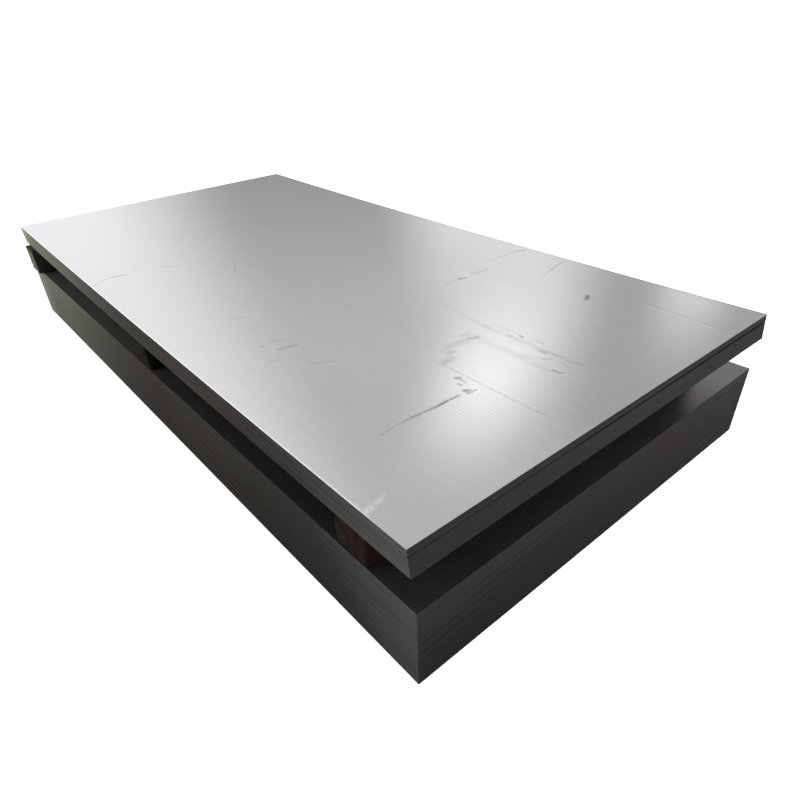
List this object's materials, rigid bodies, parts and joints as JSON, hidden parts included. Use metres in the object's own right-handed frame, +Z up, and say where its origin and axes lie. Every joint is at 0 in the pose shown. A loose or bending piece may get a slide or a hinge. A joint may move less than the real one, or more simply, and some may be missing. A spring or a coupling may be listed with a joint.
{
  "type": "steel plate stack",
  "caption": "Stack of flat rolled steel plates in two packs, the upper pack held clear of the lower by timber bearers so that forks or slings can pass between.",
  "frame": {"origin": "centre of the lower pack's underside, on the floor", "axes": "+X along the plates towards the near end, +Y across them, +Z up"},
  "size_m": [2.5135, 1.28, 0.3755],
  "materials": {
    "plate_steel": "rolled satin grey steel, scuffed, with dull darker sheared edges",
    "bearer_timber": "rough sawn, weathered softwood"
  },
  "bodies": {
    "root": {"lower_plate_01": "plate_steel", "lower_plate_02": "plate_steel", "lower_plate_03": "plate_steel", "lower_plate_04": "plate_steel", "lower_plate_05": "plate_steel", "lower_plate_06": "plate_steel", "lower_plate_07": "plate_steel", "lower_plate_08": "plate_steel", "lower_plate_09": "plate_steel", "lower_plate_10": "plate_steel", "lower_plate_11": "plate_steel", "lower_plate_12": "plate_steel", "lower_plate_13": "plate_steel", "lower_plate_14": "plate_steel", "lower_plate_15": "plate_steel", "lower_plate_16": "plate_steel", "lower_plate_17": "plate_steel", "lower_plate_18": "plate_steel", "lower_plate_19": "plate_steel", "lower_plate_20": "plate_steel", "lower_plate_21": "plate_steel", "lower_plate_22": "plate_steel", "upper_plate_1": "plate_steel", "upper_plate_2": "plate_steel", "upper_plate_3": "plate_steel", "upper_plate_4": "plate_steel", "upper_plate_5": "plate_steel", "upper_plate_6": "plate_steel", "upper_plate_7": "plate_steel", "bearer_far": "bearer_timber", "bearer_middle": "bearer_timber", "bearer_near": "bearer_timber"}
  },
  "joints": []
}
